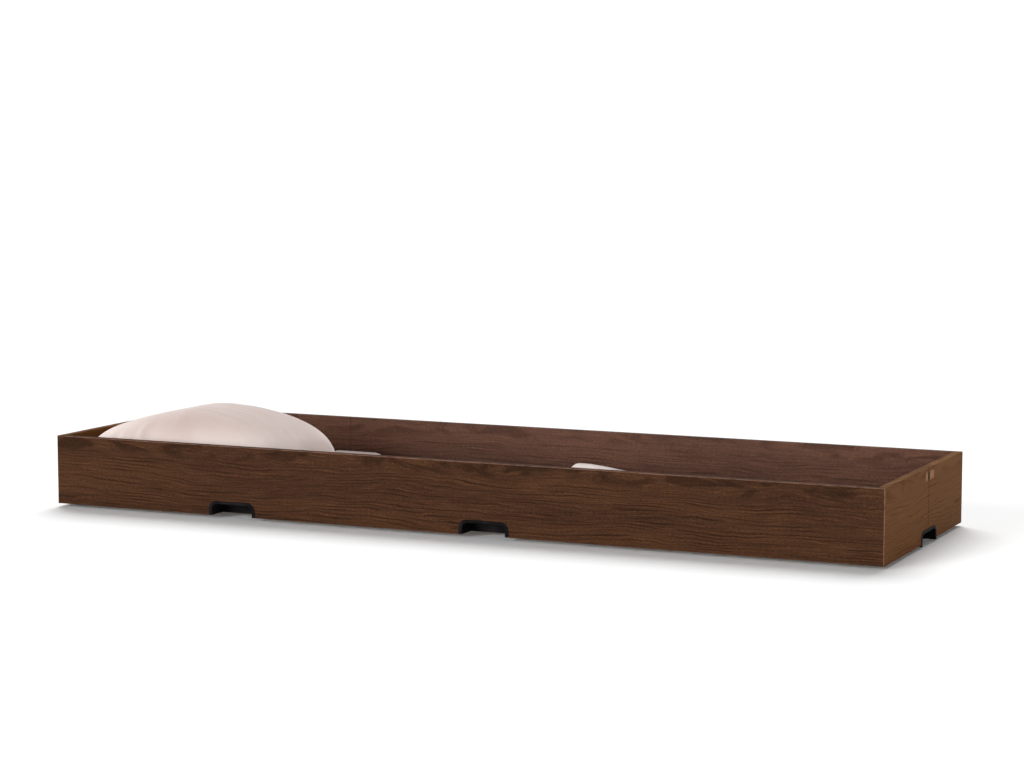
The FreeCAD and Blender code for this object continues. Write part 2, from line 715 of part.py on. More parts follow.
def make_all_screws():
    """Every screw of the bed, in four groups of one size each."""
    ear_seat = "board_thickness + ear_thickness"
    splice_seat = "board_thickness + splice_thickness"
    small = []
    for middle in ("front_left_cup_x", "front_right_cup_x"):
        small += [wall_point("front", x, ear_seat, z) for x, z in ear_holes(middle, "0")]
    for end, sign in (("right", ""), ("left", "-")):
        ears = ear_holes(f"({sign}end_cup_y)", "end_cup_drop")
        small += [wall_point(end, x, ear_seat, z) for x, z in ears]
        small += [wall_point(end, x, splice_seat, z)
                  for x, z in splice_holes(f"({sign}end_seam_y)")]
    make_screws("small_screws", screw_shape(size("small_screw_radius"),
                                            size("small_screw_length"), False), small)

    ledger = [wall_point(wall, x, "board_thickness + ledger_width", LEDGER_SCREW_HEIGHT)
              for wall in ("front", "back") for x in ledger_stations()]
    make_screws("ledger_screws", screw_shape(size("ledger_screw_radius"),
                                             size("ledger_screw_length"), False), ledger)

    up, down = Vector(0, 0, 1), Vector(0, 0, -1)
    caster = []
    for corner in CORNERS:
        centre = Vector(*(size(item) for item in caster_place(
            corner, "caster_height - caster_plate_thickness")))
        caster += [(centre + Vector(size(x), size(y), 0), down) for x, y in CASTER_HOLES]
    make_screws("caster_screws", screw_shape(size("caster_screw_radius"),
                                             size("caster_screw_length"), False), caster)

    slat = [(Vector(size(x), sign * size(SLAT_SCREW_Y), size(SLAT_TOP)), up)
            for x in slat_stations() for sign in (-1, 1)]
    make_screws("slat_screws", screw_shape(size("slat_screw_radius"),
                                           size("slat_screw_length"), True), slat)


# ---------------------------------------------------------------- the whole bed

def build():
    """Makes every sub-part."""
    make_walls()
    make_cup("front_left_pull_cup", "front", "front_left_cup_x", "0")
    make_cup("front_right_pull_cup", "front", "front_right_cup_x", "0")
    for end, sign in (("right", ""), ("left", "-")):
        make_cup(f"{end}_end_pull_cup", end, "end_cup_y", "end_cup_drop")
        make_end_plates(end, sign)
    make_ledgers()
    make_slats()
    for corner in CORNERS:
        make_block(corner)
        make_caster_plate(corner)
        make_fork(corner)
        make_axle(corner)
        make_wheel(corner)
    make_pad()
    make_pillow()
    make_all_screws()


def check_and_export():
    """Stops on any failed feature, then writes each sub-part to its own STEP file."""
    doc.recompute()
    for item in doc.Objects:
        if "Invalid" in item.State or "Error" in item.State:
            raise RuntimeError(f"{item.Label} did not build: {item.State}")
    parts = [item for item in doc.Objects
             if item.isDerivedFrom("PartDesign::Body") or item.TypeId == "Part::Feature"]
    os.makedirs("parts", exist_ok=True)
    for part in parts:
        shape = part.Shape
        if shape.isNull() or not shape.isValid() or not shape.Solids:
            raise RuntimeError(f"{part.Label} has no valid solid")
        shape.exportStep(os.path.join("parts", part.Label + ".step"))
    print(f"{len(parts)} sub-parts written")


build()
check_and_export()
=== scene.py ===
"""Looks of the trundle bed: walnut-look foil, black mouldings, softwood base, pad and pillow.

Everything is in metres in the bed's own frame: +X to the right end, +Y to the back, +Z up,
with the origin on the floor under the middle of the bed.
"""
import math

import bpy
import numpy as np
from mathutils.bvhtree import BVHTree
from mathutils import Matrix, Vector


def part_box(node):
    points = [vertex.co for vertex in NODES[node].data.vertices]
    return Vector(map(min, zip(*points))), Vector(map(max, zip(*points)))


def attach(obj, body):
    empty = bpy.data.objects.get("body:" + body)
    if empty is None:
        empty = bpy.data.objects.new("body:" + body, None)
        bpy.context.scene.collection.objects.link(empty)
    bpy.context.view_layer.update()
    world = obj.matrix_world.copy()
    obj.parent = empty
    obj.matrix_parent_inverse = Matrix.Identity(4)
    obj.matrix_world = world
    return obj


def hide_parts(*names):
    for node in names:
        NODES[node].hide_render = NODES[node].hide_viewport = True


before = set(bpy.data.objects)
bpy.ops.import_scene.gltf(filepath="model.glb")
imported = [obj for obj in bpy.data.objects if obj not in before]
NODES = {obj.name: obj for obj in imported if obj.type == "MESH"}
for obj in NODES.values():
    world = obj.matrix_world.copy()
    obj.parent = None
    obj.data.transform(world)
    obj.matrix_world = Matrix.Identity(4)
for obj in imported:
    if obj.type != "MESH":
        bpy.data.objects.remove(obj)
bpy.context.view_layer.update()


# ---------------------------------------------------------------- places read from the frame

def low(node):
    """A CAD node's lowest corner at rest."""
    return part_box(node)[0]


def high(node):
    """A CAD node's highest corner at rest."""
    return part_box(node)[1]


FRONT_FACE = low("front_panel").y
LEFT_FACE = low("left_end_rear_board").x
RIGHT_FACE = high("right_end_rear_board").x
PANEL_BOTTOM = low("front_panel").z
RIM = high("front_panel").z
SEAM = high("right_end_front_board").y


# ---------------------------------------------------------------- node graphs

class Graph:
    """A material's node tree, with short calls for the nodes used here."""

    def __init__(self, name):
        self.material = bpy.data.materials.new(name)
        self.material.use_nodes = True
        self.tree = self.material.node_tree
        self.tree.nodes.clear()
        self.output = self.node("ShaderNodeOutputMaterial")
        self.shader = self.node("ShaderNodeBsdfPrincipled")
        self.link(self.shader.outputs["BSDF"], self.output.inputs["Surface"])
        self.place = self.node("ShaderNodeTexCoord").outputs["Object"]

    def node(self, kind, **settings):
        """Adds a node and sets its properties."""
        made = self.tree.nodes.new(kind)
        for key, value in settings.items():
            setattr(made, key, value)
        return made

    def link(self, source, target):
        """Joins an output, or sets a constant, on an input."""
        if isinstance(source, bpy.types.NodeSocket):
            self.tree.links.new(source, target)
        else:
            target.default_value = source

    def math(self, operation, *values, clamp=False):
        """One arithmetic step."""
        made = self.node("ShaderNodeMath", operation=operation, use_clamp=clamp)
        for index, value in enumerate(values):
            self.link(value, made.inputs[index])
        return made.outputs[0]

    def dot(self, direction):
        """The place measured along a direction."""
        made = self.node("ShaderNodeVectorMath", operation="DOT_PRODUCT")
        self.link(self.place, made.inputs[0])
        made.inputs[1].default_value = direction
        return made.outputs["Value"]

    def vector(self, x, y, z):
        """Three values as one vector."""
        made = self.node("ShaderNodeCombineXYZ")
        for index, value in enumerate((x, y, z)):
            self.link(value, made.inputs[index])
        return made.outputs[0]

    def noise(self, vector, scale=1.0, detail=2.0, roughness=0.5, distortion=0.0):
        """Smooth noise, about 0.3 to 0.7."""
        made = self.node("ShaderNodeTexNoise")
        self.link(vector, made.inputs["Vector"])
        made.inputs["Scale"].default_value = scale
        made.inputs["Detail"].default_value = detail
        made.inputs["Roughness"].default_value = roughness
        made.inputs["Distortion"].default_value = distortion
        return made.outputs["Fac"]

    def ramp(self, value, start, end, low_value=0.0, high_value=1.0):
        """Maps start..end onto low_value..high_value with a smooth step."""
        made = self.node("ShaderNodeMapRange", interpolation_type="SMOOTHSTEP")
        self.link(value, made.inputs["Value"])
        for key, number in (("From Min", start), ("From Max", end),
                            ("To Min", low_value), ("To Max", high_value)):
            made.inputs[key].default_value = number
        return made.outputs["Result"]

    def mix(self, factor, first, second):
        """Blends two colours."""
        made = self.node("ShaderNodeMix", data_type="RGBA")
        self.link(factor, made.inputs["Factor"])
        for key, colour in ((6, first), (7, second)):
            self.link(colour, made.inputs[key])
        return made.outputs[2]

    def bump(self, height, strength, distance):
        """Raises the shader's normal by a height map."""
        made = self.node("ShaderNodeBump")
        made.inputs["Strength"].default_value = strength
        made.inputs["Distance"].default_value = distance
        self.link(height, made.inputs["Height"])
        self.link(made.outputs["Normal"], self.shader.inputs["Normal"])

    def colour(self, value):
        """Joins the base colour."""
        self.link(value, self.shader.inputs["Base Color"])

    def set(self, **sockets):
        """Sets constants on the shader's own sockets, such as Sheen_Weight=0.3."""
        for key, value in sockets.items():
            self.shader.inputs[key.replace("_", " ")].default_value = value


def srgb(red, green, blue):
    """A display colour, 0 to 255, as the linear colour a shader takes."""
    def linear(value):
        value = value / 255
        return value / 12.92 if value <= 0.04045 else ((value + 0.055) / 1.055) ** 2.4
    return (linear(red), linear(green), linear(blue), 1.0)


# ---------------------------------------------------------------- materials

# Distance between the foil's grain lines
GRAIN_PITCH = 0.0082
# Heights from the rim between which the clouds in the grain fade in
RIM_CLOUDS = (-0.048, -0.018)
# Distances from the right corner, the top edge and a joint line where the pale edge line
# (rubbed foil with a painted highlight) and the joint's painted shade start and are full
CORNER_WEAR_AND_HIGHLIGHT = (0.0022, 0.0010)
EDGE_WEAR_AND_HIGHLIGHT = (0.0020, 0.0008)
JOINT_SHADE_WIDTH = (0.0014, 0.0007)


def walnut(name, along, across, seed, tones, contrast=1.0, edge_wear_and_highlight=0.0,
           joint=((0, 1, 0), 0.0, 0.0)):
    """Walnut-look foil: long wavy grain lines with fine flecks, cloudier towards the rim.

    along and across are directions: across runs up the outer face and over the rim.
    tones are the dark, middle and light colours. The edge argument sets how strongly a pale
    line is painted along the front's top edge and right corner: partly rubbed foil, partly a
    painted highlight of the rounded edge. joint is a dark line at a board joint, painted shade
    of the joint's gap with some wear: the direction it is measured along, its place there and
    how dark it is.
    """
    dark, middle, light = tones
    graph = Graph(name)
    run = graph.dot(along)
    rise = graph.dot(across)

    def field(run_scale, level_scale, height, offset, detail=2.0, roughness=0.5, distortion=0.0):
        """Noise stretched along the board.

        The scales are its cells per metre along the board and across it, and each offset
        gives another pattern.
        """
        vector = graph.vector(graph.math("MULTIPLY", run, run_scale),
                              graph.math("MULTIPLY", height, level_scale), seed + offset)
        return graph.noise(vector, detail=detail, roughness=roughness, distortion=distortion)

    def centred(value, reach):
        """A noise value as a shift either way."""
        return graph.math("MULTIPLY", graph.math("SUBTRACT", value, 0.5), reach)

    drift = centred(field(2.6, 8.0, rise, 0, 1.0), 0.05)
    quiver = centred(field(13.0, 40.0, rise, 3, 2.0), 0.012)
    level = graph.math("ADD", rise, graph.math("ADD", drift, quiver))

    turns = graph.math("MULTIPLY", level, 2 * math.pi / GRAIN_PITCH)
    turns = graph.math("ADD", turns, centred(field(3.0, 26.0, level, 5, 2.0), 16.0))
    lines = graph.ramp(graph.math("SINE", turns), 0.05, 1.0)
    breaks = graph.ramp(field(7.0, 70.0, level, 13, 2.0), 0.36, 0.62, 0.12, 1.0)
    thin_lines = graph.ramp(field(9.0, 420.0, level, 11, 2.0), 0.52, 0.36)
    gold = graph.ramp(field(16.0, 240.0, level, 17, 2.5), 0.50, 0.66)
    flecks = field(150.0, 700.0, level, 23, 2.0, 0.7)
    pores = graph.ramp(field(190.0, 1700.0, level, 29, 1.5), 0.44, 0.32)
    bands = graph.ramp(field(1.6, 16.0, level, 31, 2.0), 0.38, 0.62)
    clouds = field(9.0, 34.0, level, 41, 4.0, 0.6, 0.8)

    sway = centred(field(3.0, 8.0, rise, 47, 1.0), 0.03)
    height = graph.math("ADD", graph.dot((0, 0, 1)), sway)
    near_rim = graph.ramp(height, RIM + RIM_CLOUDS[0], RIM + RIM_CLOUDS[1])
    cloud_dark = graph.math("MULTIPLY", graph.ramp(clouds, 0.56, 0.40), near_rim)
    line_strength = graph.math("SUBTRACT", 1.0, graph.math("MULTIPLY", near_rim, 0.65))

    base = graph.mix(graph.math("MULTIPLY", bands, 0.45), middle, light)
    base = graph.mix(graph.math("MULTIPLY", gold, 0.6 * contrast), base, light)
    ink = graph.math("MULTIPLY", lines, breaks)
    ink = graph.math("MAXIMUM", graph.math("MULTIPLY", ink, 0.8),
                     graph.math("MULTIPLY", thin_lines, 0.42))
    ink = graph.math("MULTIPLY", ink, line_strength)
    ink = graph.math("MAXIMUM", ink, graph.math("MULTIPLY", cloud_dark, 0.7))
    ink = graph.math("MAXIMUM", ink, graph.math("MULTIPLY", pores, 0.4))
    base = graph.mix(graph.math("MULTIPLY", ink, contrast), base, dark)
    speckle = graph.ramp(flecks, 0.34, 0.66, 1 - 0.26 * contrast, 1 + 0.26 * contrast)
    tinted = graph.node("ShaderNodeVectorMath", operation="SCALE")
    graph.link(base, tinted.inputs[0])
    graph.link(speckle, tinted.inputs["Scale"])
    # Pale line at the front's top edge and right corner: rubbed foil and a painted highlight
    rub = field(40.0, 60.0, rise, 53, 2.0)
    worn_lit_corner = graph.ramp(graph.dot((1, 0, 0)), RIGHT_FACE - CORNER_WEAR_AND_HIGHLIGHT[0],
                             RIGHT_FACE - CORNER_WEAR_AND_HIGHLIGHT[1])
    top_edge = RIM - FRONT_FACE
    worn_lit_top = graph.ramp(graph.dot((0, -1, 1)), top_edge - EDGE_WEAR_AND_HIGHLIGHT[0],
                          top_edge - EDGE_WEAR_AND_HIGHLIGHT[1])
    worn = graph.math("MAXIMUM", worn_lit_corner, graph.math("MULTIPLY", worn_lit_top, 0.5))
    worn = graph.math("MULTIPLY", worn, graph.ramp(rub, 0.3, 0.6, 0.35, 1.0))
    worn = graph.math("MULTIPLY", worn, edge_wear_and_highlight)
    foil = graph.mix(worn, tinted.outputs[0], WORN_EDGE_AND_HIGHLIGHT)
    # A dark line painted at a board joint: painted shade of the joint's gap, with some wear
    joint_along, joint_place, joint_shade_strength = joint
    gap = graph.math("ABSOLUTE", graph.math("SUBTRACT", graph.dot(joint_along), joint_place))
    graph.colour(graph.mix(graph.ramp(gap, *JOINT_SHADE_WIDTH, 0.0, joint_shade_strength), foil, JOINT_SHADE))

    graph.link(graph.ramp(ink, 0.0, 1.0, 0.50, 0.62), graph.shader.inputs["Roughness"])
    graph.set(Specular_IOR_Level=0.01)
    relief = graph.math("SUBTRACT", flecks, graph.math("MULTIPLY", ink, 0.8))
    graph.bump(relief, 0.2, 0.0002)
    return graph.material


def moulded_plastic(name, colour, roughness=0.42, specular=0.5):
    """Fine-grained moulded plastic."""
    graph = Graph(name)
    grain = graph.noise(graph.place, scale=1400, detail=2)
    patches = graph.noise(graph.place, scale=22, detail=3)
    worn = tuple(min(1.0, channel * 1.7 + 0.004) for channel in colour[:3]) + (1.0,)
    graph.colour(graph.mix(graph.ramp(patches, 0.45, 0.68), colour, worn))
    graph.link(graph.ramp(grain, 0.35, 0.65, roughness - 0.06, roughness + 0.08),
               graph.shader.inputs["Roughness"])
    graph.set(Specular_IOR_Level=specular)
    graph.bump(grain, 0.25, 0.00015)
    return graph.material


def plated_steel(name, colour, roughness=0.3, metallic=1.0, specular=0.5):
    """Rolled sheet steel with faint drawing marks."""
    graph = Graph(name)
    marks = graph.noise(graph.vector(graph.math("MULTIPLY", graph.dot((1, 0, 0)), 60),
                                     graph.math("MULTIPLY", graph.dot((0, 1, 0)), 900),
                                     graph.math("MULTIPLY", graph.dot((0, 0, 1)), 900)),
                        detail=3)
    spots = graph.noise(graph.place, scale=90, detail=4)
    dull = tuple(channel * 0.72 for channel in colour[:3]) + (1.0,)
    graph.colour(graph.mix(graph.ramp(spots, 0.42, 0.66), colour, dull))
    graph.link(graph.ramp(marks, 0.3, 0.7, roughness - 0.07, roughness + 0.12),
               graph.shader.inputs["Roughness"])
    graph.set(Metallic=metallic, Specular_IOR_Level=specular)
    graph.bump(marks, 0.05, 0.0001)
    return graph.material


def softwood(name, along, across):
    """Planed pine: pale, with nearly straight, slightly redder growth lines."""
    graph = Graph(name)
    run = graph.dot(along)
    rise = graph.dot(across)
    bend = graph.noise(graph.vector(graph.math("MULTIPLY", run, 2.5),
                                    graph.math("MULTIPLY", rise, 9.0), graph.dot((0, 0, 7))),
                       detail=1.5)
    level = graph.math("ADD", rise, graph.math("MULTIPLY", bend, 0.014))
    rings = graph.noise(graph.vector(graph.math("MULTIPLY", run, 1.2),
                                     graph.math("MULTIPLY", level, 150.0), 2.0), detail=2.5)
    fibre = graph.noise(graph.vector(graph.math("MULTIPLY", run, 30.0),
                                     graph.math("MULTIPLY", level, 1500.0), 5.0), detail=2)
    base = graph.mix(graph.ramp(rings, 0.36, 0.62), srgb(188, 147, 99), srgb(216, 181, 134))
    graph.colour(graph.mix(graph.ramp(fibre, 0.35, 0.7, 0.0, 0.22), base, srgb(166, 122, 78)))
    graph.set(Roughness=0.62)
    graph.bump(fibre, 0.2, 0.0002)
    return graph.material


def woven_cotton(name, colour, shade, painted_light=None, thread=0.0009):
    """Plain-woven cotton with soft broad shading and a little sheen.

    The fourth argument gives two heights and the tint that the cotton is painted with at each:
    painted light and shade, which evens out the light that differs between a piece's open and
    shaded places.
    """
    graph = Graph(name)
    weave = None
    for direction in ((1, 0, 0.35), (0.35, 1, 0), (0, 0.35, 1)):
        wave = graph.math("SINE", graph.math("MULTIPLY", graph.dot(direction),
                                             2 * math.pi / thread))
        weave = wave if weave is None else graph.math("ADD", weave, wave)
    slubs = graph.noise(graph.vector(graph.math("MULTIPLY", graph.dot((1, 0, 0)), 90),
                                     graph.math("MULTIPLY", graph.dot((0, 1, 0)), 420),
                                     graph.math("MULTIPLY", graph.dot((0, 0, 1)), 200)),
                        detail=3)
    broad = graph.noise(graph.place, scale=5.5, detail=3)
    base = graph.mix(graph.ramp(broad, 0.40, 0.62), colour, shade)
    cloth = graph.mix(graph.ramp(slubs, 0.40, 0.72, 0.0, 0.35), base, shade)
    # Painted light and shade: the cotton is tinted by height
    if painted_light:
        lower, upper, lower_tint, upper_tint = painted_light
        toned = graph.node("ShaderNodeVectorMath", operation="MULTIPLY")
        graph.link(cloth, toned.inputs[0])
        graph.link(graph.mix(graph.ramp(graph.dot((0, 0, 1)), lower, upper),
                             (*lower_tint, 1.0), (*upper_tint, 1.0)), toned.inputs[1])
        cloth = toned.outputs[0]
    graph.colour(cloth)
    graph.set(Roughness=0.86, Sheen_Weight=0.35, Sheen_Roughness=0.45)
    graph.shader.inputs["Sheen Tint"].default_value = (1.0, 0.97, 0.96, 1.0)
    graph.bump(graph.math("ADD", graph.math("MULTIPLY", weave, 0.25), slubs), 0.28, 0.0003)
    return graph.material


def paint(nodes, material):
    """Gives CAD nodes a material."""
    for name in nodes:
        mesh = NODES[name].data
        mesh.materials.clear()
        mesh.materials.append(material)


def named(*parts):
    """The CAD nodes whose name holds any of the given parts."""
    return [name for name in NODES if any(part in name for part in parts)]


# Where the back panel's inner face shows a joint line, along x
BACK_JOINT = -0.539
# Colour of the painted shade in the board joints
JOINT_SHADE = srgb(30, 18, 11)
# Colour of the pale edge line: rubbed foil with a painted highlight
WORN_EDGE_AND_HIGHLIGHT = srgb(162, 122, 105)
# Lit and shaded copies of one foil: the end boards are painted lighter and yellower, and the
# back's inner face lighter and pinker, than the front, for the light each face gets
FRONT_TONES = (srgb(37, 23, 15), srgb(63, 41, 28), srgb(85, 55, 36))
END_TONES_PAINTED_LIGHT = (srgb(74, 47, 23), srgb(105, 68, 36), srgb(117, 77, 42))
BACK_TONES_PAINTED_LIGHT = (srgb(57, 39, 32), srgb(86, 61, 51), srgb(107, 75, 61))


def paint_frame():
    """Materials of every CAD node that stays in view."""
    end_joint = ((0, 1, 0), SEAM, 1.0)
    back_joint = ((1, 0, 0), BACK_JOINT, 0.35)
    paint(["front_panel"], walnut("walnut_front", (1, 0, 0), (0, 1, 1), 1.0, FRONT_TONES,
                                   edge_wear_and_highlight=0.8))
    paint(["back_panel"], walnut("walnut_back", (1, 0, 0), (0, -1, 1), 21.0, BACK_TONES_PAINTED_LIGHT, 0.85,
                                  joint=back_joint))
    paint(named("right_end_front_board", "right_end_rear_board"),
          walnut("walnut_right_end", (0, 1, 0), (-1, 0, 1), 41.0, END_TONES_PAINTED_LIGHT, 0.7,
                 joint=end_joint))
    paint(named("left_end_front_board", "left_end_rear_board"),
          walnut("walnut_left_end", (0, 1, 0), (1, 0, 1), 61.0, END_TONES_PAINTED_LIGHT, 0.7,
                 joint=end_joint))
    paint(named("pull_cup"), moulded_plastic("pull_cup_plastic", srgb(14, 11, 12), 0.55,
                                             0.04))
    paint(named("wheel"), moulded_plastic("wheel_nylon", srgb(52, 52, 55), 0.36))
    paint(named("joining_plate"), plated_steel("tan_plate", srgb(148, 104, 68), 0.6, 0.0, 0.05))
    # The link between the plates is painted near-black as painted shade of the gap between them
    paint(named("joining_link"), plated_steel("link_gap_shade", srgb(34, 24, 20), 0.6, 0.0, 0.03))
    steel = plated_steel("zinc_steel", srgb(186, 188, 190))
    paint(named("_fork", "_axle", "_screws", "splice_plate"), steel)
    paint([name for name in NODES if name.startswith("caster_") and name.endswith("_plate")],
          steel)
    paint([name for name in named("slat_") if "screws" not in name],
          softwood("pine_slats", (0, 1, 0), (1, 0, 0.3)))
    paint(["front_ledger", "back_ledger"], softwood("pine_ledgers", (1, 0, 0), (0, 1, 1)))
    paint(named("caster_block"), softwood("pine_blocks", (1, 0, 0), (0, 1, 1)))


# ---------------------------------------------------------------- soft goods

def mesh_object(name, points, faces, material):
    """A smooth-shaded mesh object."""
    mesh = bpy.data.meshes.new(name)
    mesh.from_pydata([tuple(point) for point in points], [], faces)
    mesh.update()
    mesh.polygons.foreach_set("use_smooth", [True] * len(mesh.polygons))
    made = bpy.data.objects.new(name, mesh)
    bpy.context.scene.collection.objects.link(made)
    mesh.materials.append(material)
    return made


def shell_grid(columns, rows, form):
    """A closed shell whose two faces share their rim.

    form takes two arrays over -1..1 and the side, 1 above and -1 below, and gives x, y, z.
    Points crowd towards the rim, where the faces turn.
    """
    def spread(count):
        return np.sin(np.linspace(-math.pi / 2, math.pi / 2, count))

    u, v = np.meshgrid(spread(columns), spread(rows), indexing="ij")
    upper = np.stack(form(u, v, 1), axis=-1).reshape(-1, 3)
    lower = np.stack(form(u, v, -1), axis=-1).reshape(-1, 3)
    points = list(upper)
    below = {}
    for i in range(columns):
        for j in range(rows):
            if i in (0, columns - 1) or j in (0, rows - 1):
                below[i, j] = i * rows + j
            else:
                below[i, j] = len(points)
                points.append(lower[i * rows + j])
    faces = []
    for i in range(columns - 1):
        for j in range(rows - 1):
            loop = [(i, j), (i + 1, j), (i + 1, j + 1), (i, j + 1)]
            faces.append([a * rows + b for a, b in loop])
            faces.append([below[key] for key in reversed(loop)])
    return points, faces


def read_points(mesh):
    """A mesh's points as an array."""
    flat = np.empty(len(mesh.vertices) * 3)
    mesh.vertices.foreach_get("co", flat)
    return flat.reshape(-1, 3)


def read_normals(mesh):
    """A mesh's point normals as an array."""
    flat = np.empty(len(mesh.vertices) * 3)
    mesh.vertices.foreach_get("normal", flat)
    return flat.reshape(-1, 3)


def write_points(mesh, points):
    """Puts an array's points into a mesh."""
    mesh.vertices.foreach_set("co", np.ascontiguousarray(points).ravel())
    mesh.update()


def bake(piece):
    """Replaces a piece's mesh with what its modifiers make of it, and drops them."""
    graph = bpy.context.evaluated_depsgraph_get()
    made = bpy.data.meshes.new_from_object(piece.evaluated_get(graph))
    made.polygons.foreach_set("use_smooth", [True] * len(made.polygons))
    piece.modifiers.clear()
    piece.data = made


def averaged(field, mesh, rounds):
    """A field over a mesh's points, averaged with its neighbours a number of times."""
    pairs = np.empty(len(mesh.edges) * 2, dtype=np.int64)
    mesh.edges.foreach_get("vertices", pairs)
    first, second = pairs.reshape(-1, 2).T
    count = np.ones(len(field))
    np.add.at(count, first, 1)
    np.add.at(count, second, 1)
    for _ in range(rounds):
        total = field.copy()
        np.add.at(total, first, field[second])
        np.add.at(total, second, field[first])
        field = total / count[:, None]
    return field


def puff(piece, voxel, cap, swell, crease):
    """Swells a closed shell as cloth under inner pressure.

    No point moves further than cap. Of the broad swelling only the share named swell stays,
    and the wrinkles stay up to a height of crease.
    """
    remesh = piece.modifiers.new("even_cells", "REMESH")
    remesh.mode = "VOXEL"
    remesh.voxel_size = voxel
    bake(piece)
    start = read_points(piece.data)
    cloth = piece.modifiers.new("cloth", "CLOTH")
    cloth.settings.use_pressure = True
    cloth.settings.uniform_pressure_force = CLOTH_PRESSURE
    cloth.settings.effector_weights.gravity = 0
    cloth.settings.quality = CLOTH_QUALITY
    cloth.point_cache.frame_start = 1
    cloth.point_cache.frame_end = CLOTH_FRAMES
    for number in range(1, CLOTH_FRAMES + 1):
        bpy.context.scene.frame_set(number)
    bake(piece)
    moved = read_points(piece.data) - start
    reach = np.linalg.norm(moved, axis=1, keepdims=True)
    moved *= np.minimum(1, cap / np.maximum(reach, 1e-9))
    broad = averaged(moved, piece.data, CLOTH_BROAD_ROUNDS)
    wrinkles = averaged(moved - broad, piece.data, CLOTH_FINE_ROUNDS)
    height = np.linalg.norm(wrinkles, axis=1, keepdims=True)
    wrinkles *= crease / (crease + height)
    write_points(piece.data, start + swell * broad + wrinkles)
    bpy.context.scene.frame_set(1)


def subdivide(piece):
    """One level of subdivision, applied."""
    finer = piece.modifiers.new("finer", "SUBSURF")
    finer.levels = 1
    finer.render_levels = 1
    bake(piece)


def closed_tube(name, path, radius, material, sides=8):
    """A round cord that runs once round a closed path."""
    path = np.asarray(path)
    ahead = np.roll(path, -1, axis=0) - np.roll(path, 1, axis=0)
    ahead /= np.linalg.norm(ahead, axis=1, keepdims=True)
    across = np.cross(ahead, (0, 0, 1.0))
    across /= np.linalg.norm(across, axis=1, keepdims=True)
    up = np.cross(across, ahead)
    turns = np.arange(sides) * 2 * math.pi / sides
    rings = (path[:, None, :] + radius * (np.cos(turns)[None, :, None] * across[:, None, :]
                                          + np.sin(turns)[None, :, None] * up[:, None, :]))
    count = len(path)
    faces = []
    for i in range(count):
        for j in range(sides):
            after, beside = (i + 1) % count, (j + 1) % sides
            faces.append([i * sides + j, i * sides + beside, after * sides + beside,
                          after * sides + j])
    return mesh_object(name, rings.reshape(-1, 3), faces, material)


def seam_path(piece, outline, rounds=6):
    """A closed outline moved onto the nearest places of a piece, then evened out."""
    tree = BVHTree.FromPolygons([tuple(point) for point in read_points(piece.data)],
                                [tuple(face.vertices) for face in piece.data.polygons])
    path = np.array([tuple(tree.find_nearest(tuple(point))[0]) for point in outline])
    for _ in range(rounds):
        path = (np.roll(path, 1, axis=0) + 2 * path + np.roll(path, -1, axis=0)) / 4
    return path


def rim_loop(form, per_side):
    """The closed rim of a shell form, once round."""
    side = np.linspace(-1, 1, per_side, endpoint=False)
    ends = np.ones(per_side)
    u = np.concatenate([side, ends, -side, -ends])
    v = np.concatenate([-ends, side, ends, -side])
    return np.stack(form(u, v, 1), axis=-1)


def window(value, start, end, fade):
    """1 between start and end, falling smoothly to 0 over fade outside them."""
    return smooth_step(value, start - fade, start) * (1 - smooth_step(value, end, end + fade))


def smooth_step(value, start, end):
    """0 up to start and 1 from end, smooth between."""
    share = np.clip((value - start) / (end - start), 0, 1)
    return share * share * (3 - 2 * share)


CLOTH_PRESSURE = 4.0
CLOTH_QUALITY = 5
CLOTH_FRAMES = 20
# Rounds of averaging that leave the broad swelling, and that smooth the wrinkles
CLOTH_BROAD_ROUNDS = 24
CLOTH_FINE_ROUNDS = 2

PILLOW_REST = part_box("pillow")[0].z
# No point of the cushion is nearer than this to the left end's outer face
PILLOW_INSET = 0.020
# The pillow's middle, half sizes and turn, and the heights of its crest and its seam, which
# slopes along the pillow and droops at the corners
PILLOW_MIDDLE = (-0.7206, -0.0663)
PILLOW_HALF = (0.2709, 0.2069)
PILLOW_TURN = 0.0159
PILLOW_CREST = 0.2297
PILLOW_SEAM = 0.107
PILLOW_SEAM_SLOPE = -0.0072
PILLOW_CORNER_DROOP = 0.032
PILLOW_SEAM_LOWEST = 0.087
# Each flank falls away as (1 - distance ** first) ** second
PILLOW_LEFT = (0.895, 0.329)
PILLOW_RIGHT = (2.09, 0.371)
PILLOW_BACK = (3.41, 0.671)
PILLOW_FRONT = (3.6, 0.4375)
# From the pillow's left part to its middle the front flank's second value grows to this
PILLOW_FRONT_MIDDLE = 0.8
PILLOW_FRONT_CHANGE = (-0.8, 0.0)
# The crest's shift towards the left and the front, how far the sides pull in between the
# corners, how far the corners draw back, and how far the belly hangs below the seam
PILLOW_CREST_SHIFT = (0.047, 0.057)
PILLOW_WAIST = (0.062, 0.079)
PILLOW_CORNER_TUCK = 0.156
PILLOW_BELLY = 0.06
# Painted light and shade: two heights, and the tint that the cotton is painted with at each.
# The lower flanks are painted lighter and cooler and the crest darker, for light from the front
PILLOW_PAINTED_LIGHT = (0.140, 0.225, (1.36, 1.45, 1.49), (0.77, 0.735, 0.725))
